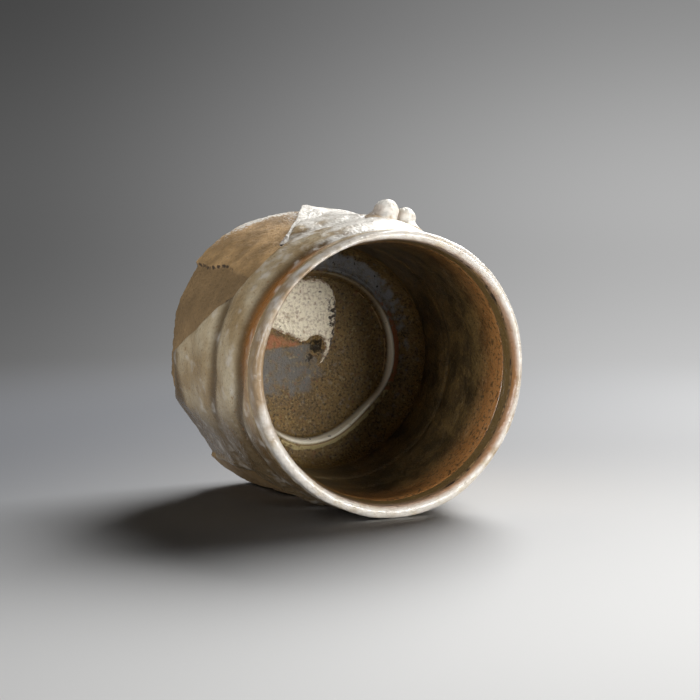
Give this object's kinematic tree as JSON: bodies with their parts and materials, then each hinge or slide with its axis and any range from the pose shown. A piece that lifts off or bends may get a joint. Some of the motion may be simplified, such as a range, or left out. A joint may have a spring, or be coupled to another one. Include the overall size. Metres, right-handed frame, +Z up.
{
  "type": "sake cup",
  "caption": "Small hand-thrown stoneware sake cup lying on its side: faceted base, torn cream slip skin, clay lumps, white lip and a dark glazed inside with a well in the floor.",
  "frame": {"origin": "on the table under the middle of the cup's length, where the cup lies on its side", "axes": "+Z up from the table, +Y along the cup's axis out of the foot, so the mouth faces -Y; a quarter turn about X stands the cup on its foot"},
  "size_m": [0.0635, 0.054, 0.0619],
  "materials": {
    "bare_clay": "unglazed, rough, knife-cut",
    "foot_clay": "unglazed, turned",
    "cream_slip": "satin, mottled",
    "white_clay": "satin",
    "white_glaze": "glossy",
    "olive_glaze": "glossy, speckled",
    "floor_glaze": "glossy, speckled",
    "cream_ash": "satin, pitted"
  },
  "bodies": {
    "root": {"thrown_core": "bare_clay", "foot_ring": "foot_clay", "slip_skin": "cream_slip", "torn_crest": "white_clay", "large_pellet": "white_clay", "small_pellet": "white_clay", "lip_glaze": "white_glaze", "wall_glaze": "olive_glaze", "floor_glaze": "floor_glaze", "ash_patch": "cream_ash"}
  },
  "joints": []
}
